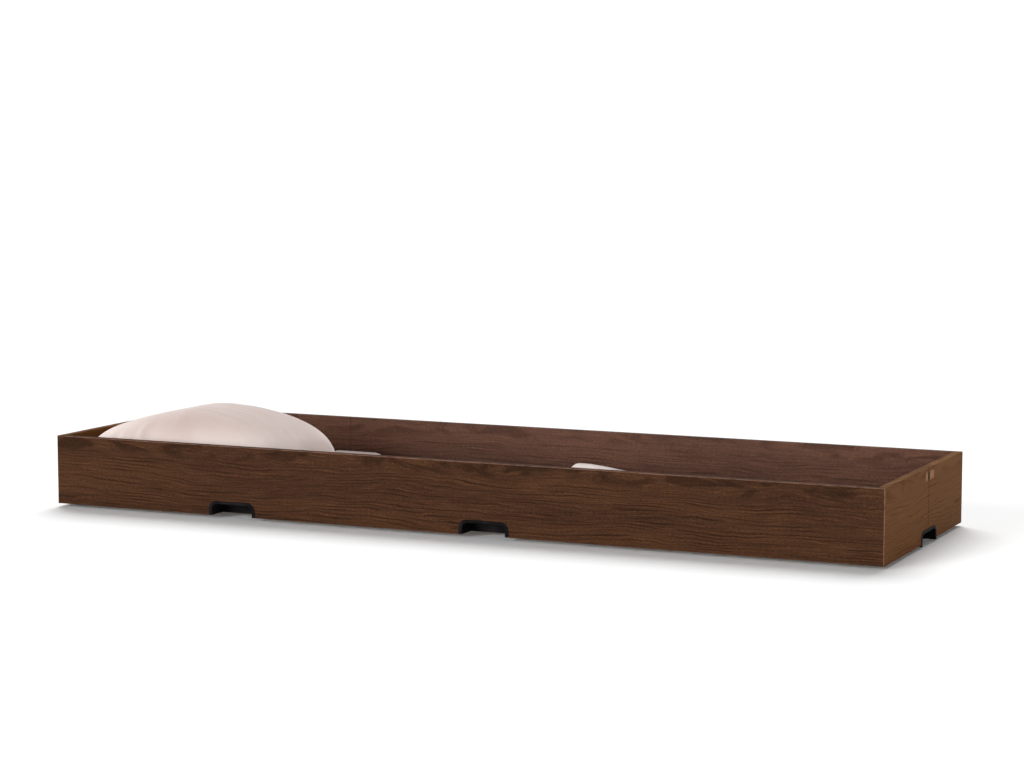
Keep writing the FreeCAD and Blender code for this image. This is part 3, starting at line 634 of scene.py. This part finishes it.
# Folds that run off the crest to the right: place from front to back, first and last x from
# the middle, depth and half width
PILLOW_FOLDS = [
    (-0.112, 0.08, 0.17, 0.0004, 0.0070), (-0.080, 0.03, 0.20, 0.0006, 0.0080),
    (-0.050, -0.02, 0.12, 0.0004, 0.0065), (-0.031, 0.07, 0.21, 0.0006, 0.0055),
    (-0.002, -0.04, 0.15, 0.0005, 0.0080), (0.024, 0.02, 0.21, 0.0006, 0.0065),
    (0.060, -0.02, 0.13, 0.0004, 0.0085), (0.078, 0.06, 0.19, 0.0006, 0.0060),
    (0.112, -0.03, 0.15, 0.0005, 0.0080),
]
PILLOW_FOLD_SKEW = 0.10
PILLOW_FOLD_CURL = 0.9
PILLOW_FOLD_FADE = 0.04
# Each fold wanders sideways by sines: reach, length over two pi, and start
PILLOW_FOLD_WAVES = [(0.003, 0.031, 0.0), (0.0015, 0.013, 1.0)]
# Short upright pleats in the front flank's left half: their depth, and the lengths, over two
# pi, of one pleat, of its wander and of a group
PLEAT_DEPTH = 0.0022
PLEAT_RUN = 0.0062
PLEAT_WANDER = 0.021
PLEAT_GROUPS = 0.034
PILLOW_PIPING = 0.0022


def pillow_form(u, v, side):
    """The pillow's upper (side 1) or lower (side -1) face."""
    seam = (PILLOW_SEAM + PILLOW_SEAM_SLOPE * u
            - PILLOW_CORNER_DROOP * np.abs(u) ** 3 * np.abs(v) ** 3)
    seam = np.maximum(seam, PILLOW_SEAM_LOWEST)

    def flank(distance, power, root):
        return np.clip(1 - np.abs(distance) ** power, 0, 1) ** root

    along_place = u + PILLOW_CREST_SHIFT[0] * (1 - u ** 2)
    across_place = v + PILLOW_CREST_SHIFT[1] * (1 - v ** 2)
    front_root = (PILLOW_FRONT[1] + (PILLOW_FRONT_MIDDLE - PILLOW_FRONT[1])
                  * smooth_step(u, *PILLOW_FRONT_CHANGE))
    along = np.where(along_place < 0, flank(along_place, *PILLOW_LEFT),
                     flank(along_place, *PILLOW_RIGHT))
    across = np.where(across_place < 0, flank(across_place, PILLOW_FRONT[0], front_root),
                      flank(across_place, *PILLOW_BACK))
    corner = 1 - PILLOW_CORNER_TUCK * (u * v) ** 4
    x = PILLOW_HALF[0] * u * (1 - PILLOW_WAIST[0] * (1 - v ** 2)) * corner
    y = PILLOW_HALF[1] * v * (1 - PILLOW_WAIST[1] * (1 - u ** 2)) * corner
    if side > 0:
        z = seam + (PILLOW_CREST - seam) * along * across
    else:
        belly = np.clip((1 - u ** 4) * (1 - v ** 4), 0, 1) ** 0.5
        z = np.maximum(seam - PILLOW_BELLY * belly, PILLOW_REST)
    turn, slide = math.cos(PILLOW_TURN), math.sin(PILLOW_TURN)
    return (PILLOW_MIDDLE[0] + turn * x - slide * y, PILLOW_MIDDLE[1] + slide * x + turn * y, z)


def fold_pillow(pillow):
    """Presses shallow folds into the pillow's upper face and its front flank."""
    points = read_points(pillow.data)
    normals = read_normals(pillow.data)
    turn, slide = math.cos(PILLOW_TURN), math.sin(PILLOW_TURN)
    x = points[:, 0] - PILLOW_MIDDLE[0]
    y = points[:, 1] - PILLOW_MIDDLE[1]
    x, y = turn * x + slide * y, turn * y - slide * x
    place = y + PILLOW_FOLD_SKEW * x + PILLOW_FOLD_CURL * np.maximum(x, 0) ** 2
    for reach, length, start in PILLOW_FOLD_WAVES:
        place = place + reach * np.sin(x / length + start)
    upper = smooth_step(normals[:, 2], 0.30, 0.60)
    lift = np.zeros(len(points))
    for centre, first, last, depth, half_width in PILLOW_FOLDS:
        offset = (place - centre) / half_width
        profile = 0.7 * np.exp(-(offset - 1.5) ** 2) - np.exp(-offset ** 2)
        lift += depth * profile * window(x, first, last, PILLOW_FOLD_FADE)
    lift *= upper
    flank = smooth_step(-normals[:, 1], 0.35, 0.75) * smooth_step(-x, 0.02, 0.10)
    pleats = np.sin(x / PLEAT_RUN + 1.6 * np.sin(x / PLEAT_WANDER))
    pleats = pleats * np.sin(x / PLEAT_GROUPS + 0.6)
    lift += PLEAT_DEPTH * pleats * flank
    write_points(pillow.data, points + normals * lift[:, None])


def make_pillow():
    """The pillow, in place of its plain CAD solid."""
    cotton = woven_cotton("pillow_cotton", srgb(206, 187, 180), srgb(199, 179, 171),
                          painted_light=PILLOW_PAINTED_LIGHT)
    points, faces = shell_grid(columns=97, rows=89, form=pillow_form)
    pillow = mesh_object("pillow_cushion", points, faces, cotton)
    puff(pillow, voxel=0.0045, cap=0.024, swell=0.0, crease=0.003)
    subdivide(pillow)
    fold_pillow(pillow)
    settled = read_points(pillow.data)
    settled[:, 2] = np.maximum(settled[:, 2], PILLOW_REST)
    settled[:, 0] = np.maximum(settled[:, 0], LEFT_FACE + PILLOW_INSET)
    write_points(pillow.data, settled)
    path = seam_path(pillow, rim_loop(pillow_form, per_side=90))
    piping = closed_tube("pillow_piping", path, PILLOW_PIPING, cotton)
    for piece in (pillow, piping):
        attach(piece, "pillow")
    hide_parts("pillow")


PAD_LOW, PAD_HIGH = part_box("mattress_pad")
PAD_CORNER = 0.04
PAD_ROUND = 0.012
# How much thinner the form is on each face than the CAD pad, which leaves the cloth room
PAD_ROOM = 0.0015
PAD_PIPING = 0.0024
# Painted light and shade: two heights, and the tint that the cotton is painted with at each.
# The flat top is painted darker and the risen places along the back, in the panels' shade,
# lighter
PAD_PAINTED_LIGHT = (PAD_HIGH.z + 0.002, PAD_HIGH.z + 0.009, (0.86,) * 3, (1.09,) * 3)
QUILT_PITCH = 0.095
QUILT_DEPTH = 0.0030
QUILT_STITCH_WIDTH = 0.0055
# Beside a stitch the face stays down by this share of the stitch's depth
QUILT_PUFF = 0.35
QUILT_PUFF_WIDTH = 0.018
# The stitching fades in between these distances from the pad's edge
QUILT_BORDER = (0.022, 0.032)
# Places where the pad's back edge rides up: first and last x, rise and slope widths
PAD_RISES = [(-0.565, -0.455, 0.0110, 0.018, 0.022), (0.082, 0.092, 0.0172, 0.022, 0.185)]
# Distances from the back edge where the rise starts and is full
PAD_RISE_BAND = (0.055, 0.015)


def pad_form(u, v, side):
    """The pad's upper or lower face, round at its rim and risen in places along its back."""
    half_x = (PAD_HIGH.x - PAD_LOW.x) / 2
    half_y = (PAD_HIGH.y - PAD_LOW.y) / 2
    x, y = half_x * u, half_y * v
    over_x = np.maximum(np.abs(x) - (half_x - PAD_CORNER), 0)
    over_y = np.maximum(np.abs(y) - (half_y - PAD_CORNER), 0)
    reach = np.maximum(np.hypot(over_x, over_y), 1e-9)
    shrink = np.minimum(1, np.maximum(over_x, over_y) / reach)
    x = np.sign(x) * (np.minimum(np.abs(x), half_x - PAD_CORNER) + over_x * shrink)
    y = np.sign(y) * (np.minimum(np.abs(y), half_y - PAD_CORNER) + over_y * shrink)
    edge = np.minimum((1 - np.abs(u)) * half_x, (1 - np.abs(v)) * half_y)
    crown = np.sqrt(np.clip(1 - (1 - np.clip(edge / PAD_ROUND, 0, 1)) ** 2, 0, 1))
    rise = np.zeros_like(x)
    for first, last, height, left_slope, right_slope in PAD_RISES:
        shape = smooth_step(x, first - left_slope, first)
        shape = shape * (1 - smooth_step(x, last, last + right_slope))
        rise = np.maximum(rise, height * shape)
    rise = rise * smooth_step(y, half_y - PAD_RISE_BAND[0], half_y - PAD_RISE_BAND[1])
    middle = (PAD_LOW.z + PAD_HIGH.z) / 2
    half = (PAD_HIGH.z - PAD_LOW.z) / 2 - PAD_ROOM
    return x, y, middle + rise * (0.5 + 0.5 * side * crown) + side * half * crown


def quilt(pad):
    """Presses stitched lines into the pad's two faces, in squares turned by 45 degrees."""
    points = read_points(pad.data)
    normals = read_normals(pad.data)
    x, y = points[:, 0], points[:, 1]
    sink = np.zeros(len(points))
    for slant in (1, -1):
        turn = (x + slant * y) / (QUILT_PITCH * math.sqrt(2))
        away = np.abs(turn - np.round(turn)) * QUILT_PITCH
        sink = np.maximum(sink, np.exp(-(away / QUILT_STITCH_WIDTH) ** 2)
                          + QUILT_PUFF * np.exp(-away / QUILT_PUFF_WIDTH))
    inside = smooth_step(np.minimum(PAD_HIGH.x - np.abs(x), PAD_HIGH.y - np.abs(y)),
                         *QUILT_BORDER)
    flat = smooth_step(np.abs(normals[:, 2]), 0.6, 0.9)
    points[:, 2] -= np.sign(normals[:, 2]) * QUILT_DEPTH * sink * inside * flat
    write_points(pad.data, points)


def make_mattress_pad():
    """The thin pad, in place of its plain CAD solid."""
    cotton = woven_cotton("pad_cotton", srgb(243, 232, 229), srgb(236, 224, 220),
                          painted_light=PAD_PAINTED_LIGHT)
    points, faces = shell_grid(columns=261, rows=121, form=pad_form)
    pad = mesh_object("mattress_pad_quilt", points, faces, cotton)
    puff(pad, voxel=0.006, cap=0.008, swell=0.1, crease=0.003)
    quilt(pad)
    settled = read_points(pad.data)
    settled[:, 2] = np.maximum(settled[:, 2], PAD_LOW.z)
    write_points(pad.data, settled)
    path = seam_path(pad, rim_loop(pad_form, per_side=200))
    piping = closed_tube("mattress_pad_piping", path, PAD_PIPING, cotton)
    for piece in (pad, piping):
        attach(piece, "mattress_pad")
    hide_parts("mattress_pad")


# ---------------------------------------------------------------- room, light and camera

CAMERA_PLACE = (2.42766, -5.23546, 0.92841)
CAMERA_TURN = 24.585
CAMERA_TILT = 6.25
CAMERA_LENS = 89.44
FLOOR_REACH = 120
FLOOR_GLOW = 0.04
SKY_STRENGTH = 0.16
HORIZON_STRENGTH = 1.1
HORIZON_BAND = (0.06, 0.16)
BACK_LIGHT = {"strength": 3.1, "spread": 50, "source": (-0.30, 0.76, 1.0)}
FRONT_LIGHT = {"strength": 2.8, "spread": 32, "source": (-0.5, -1.0, 0.25)}
RIGHT_LIGHT = {"strength": 0.6, "spread": 32, "source": (1.0, -0.6, 0.2)}


def make_sky():
    """A dim even sky with a bright white band along the horizon."""
    world = bpy.data.worlds.new("studio")
    world.use_nodes = True
    tree = world.node_tree
    sky = tree.nodes["Background"]
    sky.inputs["Color"].default_value = (1, 1, 1, 1)
    place = tree.nodes.new("ShaderNodeTexCoord")
    split = tree.nodes.new("ShaderNodeSeparateXYZ")
    band = tree.nodes.new("ShaderNodeMapRange")
    for key, number in (("From Min", HORIZON_BAND[0]), ("From Max", HORIZON_BAND[1]),
                        ("To Min", HORIZON_STRENGTH), ("To Max", SKY_STRENGTH)):
        band.inputs[key].default_value = number
    tree.links.new(place.outputs["Generated"], split.inputs[0])
    tree.links.new(split.outputs["Z"], band.inputs["Value"])
    tree.links.new(band.outputs["Result"], sky.inputs["Strength"])
    bpy.context.scene.world = world


def far_light(name, strength, spread, source):
    """A distant light seen as a disc, spread degrees wide, in the direction of its source."""
    data = bpy.data.lights.new(name, "SUN")
    data.energy = strength
    data.angle = math.radians(spread)
    light = bpy.data.objects.new(name, data)
    x, y, z = source
    light.rotation_euler = (math.atan2(math.hypot(x, y), z), 0, math.atan2(x, -y))
    bpy.context.scene.collection.objects.link(light)


def make_room():
    """A plain pale floor under soft light. It glows a little, which lightens the shadows."""
    scene = bpy.context.scene
    scene.view_settings.view_transform = "Standard"
    make_sky()
    far_light("back_light", **BACK_LIGHT)
    far_light("front_light", **FRONT_LIGHT)
    far_light("right_light", **RIGHT_LIGHT)

    graph = Graph("floor_paint")
    mottle = graph.noise(graph.place, scale=3, detail=3)
    graph.colour(graph.mix(mottle, (0.93, 0.93, 0.93, 1), (0.95, 0.95, 0.95, 1)))
    graph.set(Roughness=0.9, Specular_IOR_Level=0.0, Emission_Color=(1, 1, 1, 1),
              Emission_Strength=FLOOR_GLOW)
    reach = FLOOR_REACH
    corners = [(-reach, -reach, 0), (reach, -reach, 0), (reach, reach, 0), (-reach, reach, 0)]
    floor = mesh_object("studio_floor", corners, [(0, 1, 2, 3)], graph.material)


def make_camera():
    """The camera, looking a little down at the bed from its front right."""
    data = bpy.data.cameras.new("view_camera")
    data.sensor_width = 36
    data.lens = CAMERA_LENS
    camera = bpy.data.objects.new("view_camera", data)
    x, y, height = CAMERA_PLACE
    camera.location = (x, y, height + PANEL_BOTTOM)
    camera.rotation_euler = (math.pi / 2 - math.radians(CAMERA_TILT), 0,
                             math.radians(CAMERA_TURN))
    bpy.context.scene.collection.objects.link(camera)
    bpy.context.scene.camera = camera


make_camera()
make_room()
paint_frame()
make_mattress_pad()
make_pillow()
